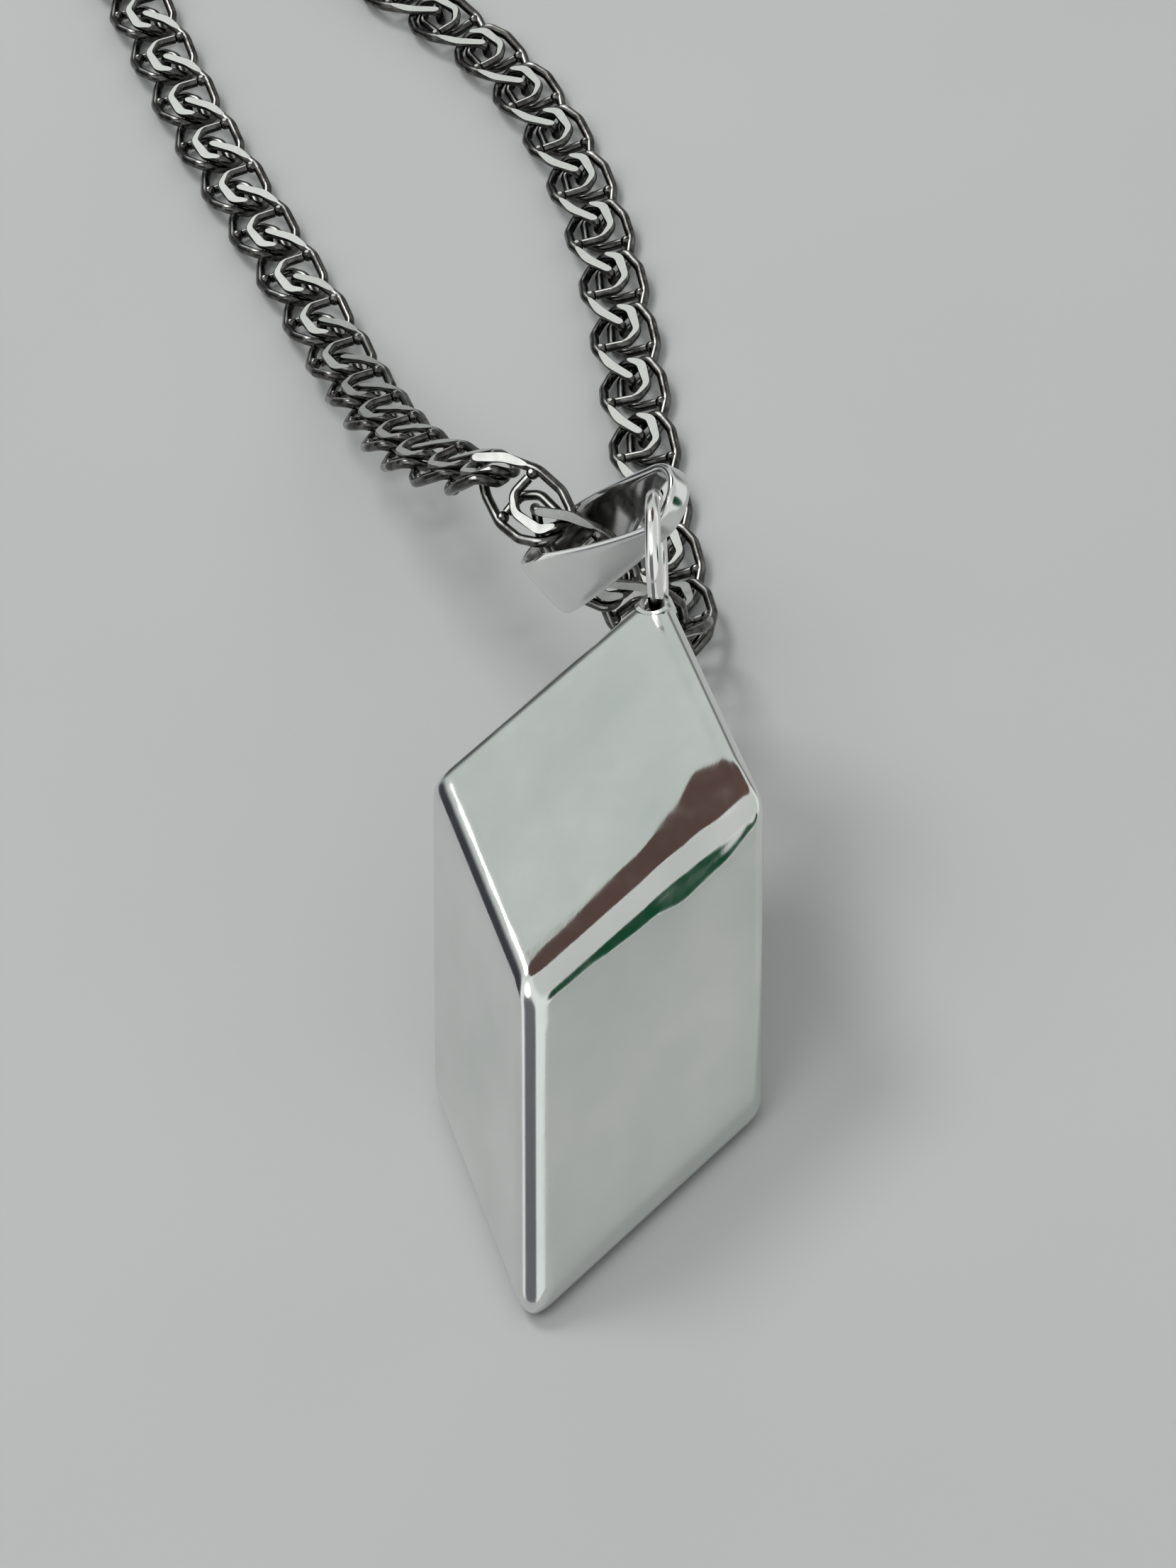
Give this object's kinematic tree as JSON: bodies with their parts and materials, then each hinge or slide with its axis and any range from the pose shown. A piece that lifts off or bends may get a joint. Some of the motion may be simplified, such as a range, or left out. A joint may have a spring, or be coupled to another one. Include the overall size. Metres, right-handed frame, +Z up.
{
  "type": "pendant necklace",
  "caption": "Hollow silver rhombohedron pendant hung by its sharp corner from a jump ring and a folded bail on a flat-ground scroll-link chain with a lobster clasp.",
  "frame": {"origin": "middle of the rhombic face that the pendant rests on, on the table", "axes": "+Z up from the table, +Y towards the drilled corner and the chain, -Y towards the opposite sharp corner, +X to the right"},
  "size_m": [0.0874, 0.2015, 0.0153],
  "materials": {
    "silver_body": "mirror-polished sterling silver",
    "silver_ring": "polished sterling silver wire",
    "silver_bail": "polished sterling silver strip",
    "silver_chain": "sterling silver links with ground flats and darker recesses",
    "silver_findings": "polished sterling silver",
    "spring_steel": "plain"
  },
  "bodies": {
    "pendant": {"upper_shell": "silver_body", "lower_shell": "silver_body", "apex_tube": "silver_body"},
    "jump_ring": {"jump_ring": "silver_ring"},
    "bail": {"bail": "silver_bail"},
    "chain_right_15": {"chain_right_15": "silver_chain"},
    "chain_right_14": {"chain_right_14": "silver_chain"},
    "chain_right_13": {"chain_right_13": "silver_chain"},
    "chain_right_12": {"chain_right_12": "silver_chain"},
    "chain_right_11": {"chain_right_11": "silver_chain"},
    "chain_right_10": {"chain_right_10": "silver_chain"},
    "chain_right_09": {"chain_right_09": "silver_chain"},
    "chain_right_08": {"chain_right_08": "silver_chain"},
    "chain_right_07": {"chain_right_07": "silver_chain"},
    "chain_right_06": {"chain_right_06": "silver_chain"},
    "chain_right_05": {"chain_right_05": "silver_chain"},
    "chain_right_04": {"chain_right_04": "silver_chain"},
    "chain_right_03": {"chain_right_03": "silver_chain"},
    "chain_right_02": {"chain_right_02": "silver_chain"},
    "chain_right_01": {"chain_right_01": "silver_chain"},
    "chain_centre_1": {"chain_centre_1": "silver_chain"},
    "chain_centre_2": {"chain_centre_2": "silver_chain"},
    "chain_left_01": {"chain_left_01": "silver_chain"},
    "chain_left_02": {"chain_left_02": "silver_chain"},
    "chain_left_03": {"chain_left_03": "silver_chain"},
    "chain_left_04": {"chain_left_04": "silver_chain"},
    "chain_left_05": {"chain_left_05": "silver_chain"},
    "chain_left_06": {"chain_left_06": "silver_chain"},
    "chain_left_07": {"chain_left_07": "silver_chain"},
    "chain_left_08": {"chain_left_08": "silver_chain"},
    "chain_left_09": {"chain_left_09": "silver_chain"},
    "chain_left_10": {"chain_left_10": "silver_chain"},
    "chain_left_11": {"chain_left_11": "silver_chain"},
    "chain_left_12": {"chain_left_12": "silver_chain"},
    "chain_left_13": {"chain_left_13": "silver_chain"},
    "chain_left_14": {"chain_left_14": "silver_chain"},
    "chain_left_15": {"chain_left_15": "silver_chain"},
    "right_end_ring": {"right_end_ring": "silver_findings"},
    "clasp_ring": {"clasp_ring": "silver_findings"},
    "left_end_ring": {"left_end_ring": "silver_findings"},
    "clasp": {"clasp_body": "silver_findings", "clasp_pin": "silver_findings", "clasp_spring": "spring_steel"},
    "clasp_lever": {"clasp_lever": "silver_findings"}
  },
  "joints": [
    {"name": "ring_swing", "type": "hinge", "parent": "pendant", "child": "jump_ring", "pos_m": [0, 0.01958, 0.01151], "axis": [0, -0.3333, 0.9428], "range_deg": [-30, 30]},
    {"name": "bail_swing", "type": "hinge", "parent": "jump_ring", "child": "bail", "pos_m": [-0.0009, 0.0244, 0.01322], "axis": [-0.6175, -0.2706, 0.7386], "range_deg": [-20, 20]},
    {"name": "chain_swing", "type": "hinge", "parent": "bail", "child": "chain_centre_2", "pos_m": [-0.00492, 0.0245, 0.0099], "axis": [0.6183, -0.2218, -0.754], "range_deg": [-15, 15]},
    {"name": "right_15_turn", "type": "hinge", "parent": "chain_right_14", "child": "chain_right_15", "pos_m": [-0.01651, 0.17656, 0.0008], "axis": [-0.0107, 0.0123, -0.9999], "range_deg": [-6, 15]},
    {"name": "right_14_lift", "type": "hinge", "parent": "chain_right_13", "child": "chain_right_14", "pos_m": [-0.00995, 0.16695, 0.00072], "axis": [-0.94, -0.3412, 0], "range_deg": [-15, 15]},
    {"name": "right_13_turn", "type": "hinge", "parent": "chain_right_12", "child": "chain_right_13", "pos_m": [-0.00704, 0.15445, 0.00072], "axis": [0, -0.0002, 1], "range_deg": [-15, 6]},
    {"name": "right_12_lift", "type": "hinge", "parent": "chain_right_11", "child": "chain_right_12", "pos_m": [-0.00848, 0.1429, 0.00072], "axis": [0.9298, -0.3679, 0], "range_deg": [-15, 15]},
    {"name": "right_11_turn", "type": "hinge", "parent": "chain_right_10", "child": "chain_right_11", "pos_m": [-0.01464, 0.13165, 0.00072], "axis": [0, 0, -1], "range_deg": [-9, 15]},
    {"name": "right_10_lift", "type": "hinge", "parent": "chain_right_09", "child": "chain_right_10", "pos_m": [-0.02306, 0.12356, 0.00072], "axis": [-0.6195, 0.785, 0], "range_deg": [-15, 15]},
    {"name": "right_09_turn", "type": "hinge", "parent": "chain_right_08", "child": "chain_right_09", "pos_m": [-0.03282, 0.11515, 0.00072], "axis": [0, 0, 1], "range_deg": [-9, 10]},
    {"name": "right_08_lift", "type": "hinge", "parent": "chain_right_07", "child": "chain_right_08", "pos_m": [-0.03927, 0.10546, 0.00072], "axis": [0.955, -0.2965, 0], "range_deg": [-15, 15]},
    {"name": "right_07_turn", "type": "hinge", "parent": "chain_right_06", "child": "chain_right_07", "pos_m": [-0.04079, 0.09283, 0.00072], "axis": [0, 0, -1], "range_deg": [-7, 0]},
    {"name": "right_06_lift", "type": "hinge", "parent": "chain_right_05", "child": "chain_right_06", "pos_m": [-0.03585, 0.08233, 0.00072], "axis": [-0.7503, -0.6611, 0], "range_deg": [-15, 15]},
    {"name": "right_05_turn", "type": "hinge", "parent": "chain_right_04", "child": "chain_right_05", "pos_m": [-0.02636, 0.07368, 0.00072], "axis": [0, 0, 1], "range_deg": [-15, 6]},
    {"name": "right_04_lift", "type": "hinge", "parent": "chain_right_03", "child": "chain_right_04", "pos_m": [-0.01818, 0.06539, 0.00072], "axis": [0.8477, 0.5304, 0], "range_deg": [-15, 15]},
    {"name": "right_03_turn", "type": "hinge", "parent": "chain_right_02", "child": "chain_right_03", "pos_m": [-0.01215, 0.05401, 0.00072], "axis": [0, 0, -1], "range_deg": [-5, 15]},
    {"name": "right_02_lift", "type": "hinge", "parent": "chain_right_01", "child": "chain_right_02", "pos_m": [-0.00806, 0.04305, 0.00072], "axis": [-0.9397, -0.342, 0], "range_deg": [-15, 15]},
    {"name": "right_01_turn", "type": "hinge", "parent": "chain_centre_1", "child": "chain_right_01", "pos_m": [-0.00344, 0.03103, 0.00084], "axis": [-0.1876, 0.1839, 0.9649], "range_deg": [-9, 5]},
    {"name": "centre_1_lift", "type": "hinge", "parent": "chain_centre_2", "child": "chain_centre_1", "pos_m": [-0.00326, 0.02396, 0.00818], "axis": [0.6911, 0.5193, 0.5027], "range_deg": [-15, 3]},
    {"name": "left_01_turn", "type": "hinge", "parent": "chain_centre_2", "child": "chain_left_01", "pos_m": [-0.01212, 0.0299, 0.00967], "axis": [-0.2879, 0.3184, 0.9032], "range_deg": [-5, 12]},
    {"name": "left_02_lift", "type": "hinge", "parent": "chain_left_01", "child": "chain_left_02", "pos_m": [-0.01872, 0.03808, 0.00471], "axis": [-0.8441, -0.5362, 0], "range_deg": [-15, 15]},
    {"name": "left_03_turn", "type": "hinge", "parent": "chain_left_02", "child": "chain_left_03", "pos_m": [-0.02532, 0.04847, 0.00101], "axis": [0.0374, -0.0553, -0.9978], "range_deg": [-12, 5]},
    {"name": "left_04_lift", "type": "hinge", "parent": "chain_left_03", "child": "chain_left_04", "pos_m": [-0.03207, 0.058, 0.00072], "axis": [0.809, 0.5878, 0], "range_deg": [-15, 15]},
    {"name": "left_05_turn", "type": "hinge", "parent": "chain_left_04", "child": "chain_left_05", "pos_m": [-0.03935, 0.06865, 0.00072], "axis": [-0.0001, 0.0001, 1], "range_deg": [-6, 15]},
    {"name": "left_06_lift", "type": "hinge", "parent": "chain_left_05", "child": "chain_left_06", "pos_m": [-0.0456, 0.07854, 0.00072], "axis": [-0.8309, -0.5564, 0], "range_deg": [-15, 15]},
    {"name": "left_07_turn", "type": "hinge", "parent": "chain_left_06", "child": "chain_left_07", "pos_m": [-0.05291, 0.08917, 0.00072], "axis": [0, 0, -1], "range_deg": [-15, 7]},
    {"name": "left_08_lift", "type": "hinge", "parent": "chain_left_07", "child": "chain_left_08", "pos_m": [-0.05975, 0.09866, 0.00072], "axis": [0.8174, 0.5761, 0], "range_deg": [-15, 15]},
    {"name": "left_09_turn", "type": "hinge", "parent": "chain_left_08", "child": "chain_left_09", "pos_m": [-0.06698, 0.10934, 0.00072], "axis": [0, 0, 1], "range_deg": [-10, 15]},
    {"name": "left_10_lift", "type": "hinge", "parent": "chain_left_09", "child": "chain_left_10", "pos_m": [-0.07264, 0.11957, 0.00072], "axis": [-0.9208, -0.3901, 0], "range_deg": [-15, 15]},
    {"name": "left_11_turn", "type": "hinge", "parent": "chain_left_10", "child": "chain_left_11", "pos_m": [-0.07686, 0.13174, 0.00072], "axis": [0, 0, -1], "range_deg": [-15, 12]},
    {"name": "left_12_lift", "type": "hinge", "parent": "chain_left_11", "child": "chain_left_12", "pos_m": [-0.07844, 0.14331, 0.00072], "axis": [0.9999, -0.0122, 0], "range_deg": [-15, 15]},
    {"name": "left_13_turn", "type": "hinge", "parent": "chain_left_12", "child": "chain_left_13", "pos_m": [-0.07724, 0.15612, 0.00072], "axis": [-0.0001, -0.0002, 1], "range_deg": [-9, 15]},
    {"name": "left_14_lift", "type": "hinge", "parent": "chain_left_13", "child": "chain_left_14", "pos_m": [-0.07291, 0.16693, 0.00072], "axis": [-0.8073, 0.5901, 0], "range_deg": [-15, 15]},
    {"name": "left_15_turn", "type": "hinge", "parent": "chain_left_14", "child": "chain_left_15", "pos_m": [-0.06429, 0.17646, 0.00088], "axis": [0.0323, 0.0244, -0.9992], "range_deg": [-15, 9]},
    {"name": "right_end_ring_lift", "type": "hinge", "parent": "chain_right_15", "child": "right_end_ring", "pos_m": [-0.02623, 0.18357, 0.00141], "axis": [0.4968, 0.8679, 0], "range_deg": [-5, 5]},
    {"name": "clasp_ring_turn", "type": "hinge", "parent": "right_end_ring", "child": "clasp_ring", "pos_m": [-0.02775, 0.18443, 0.00153], "axis": [0.21, -0.1202, -0.9703], "range_deg": [-10, 10]},
    {"name": "left_end_ring_lift", "type": "hinge", "parent": "chain_left_15", "child": "left_end_ring", "pos_m": [-0.05432, 0.18289, 0.00149], "axis": [-0.4826, 0.8758, 0], "range_deg": [-5, 5]},
    {"name": "clasp_turn", "type": "hinge", "parent": "left_end_ring", "child": "clasp", "pos_m": [-0.05196, 0.18419, 0.00165], "axis": [0.0611, 0.0337, 0.9976], "range_deg": [-15, 15]},
    {"name": "lever_open", "type": "hinge", "parent": "clasp", "child": "clasp_lever", "pos_m": [-0.04973, 0.18717, 0.00142], "axis": [0.0611, 0.0337, 0.9976], "range_deg": [-25, 0], "stiffness_Nm_per_rad": 0.002}
  ]
}
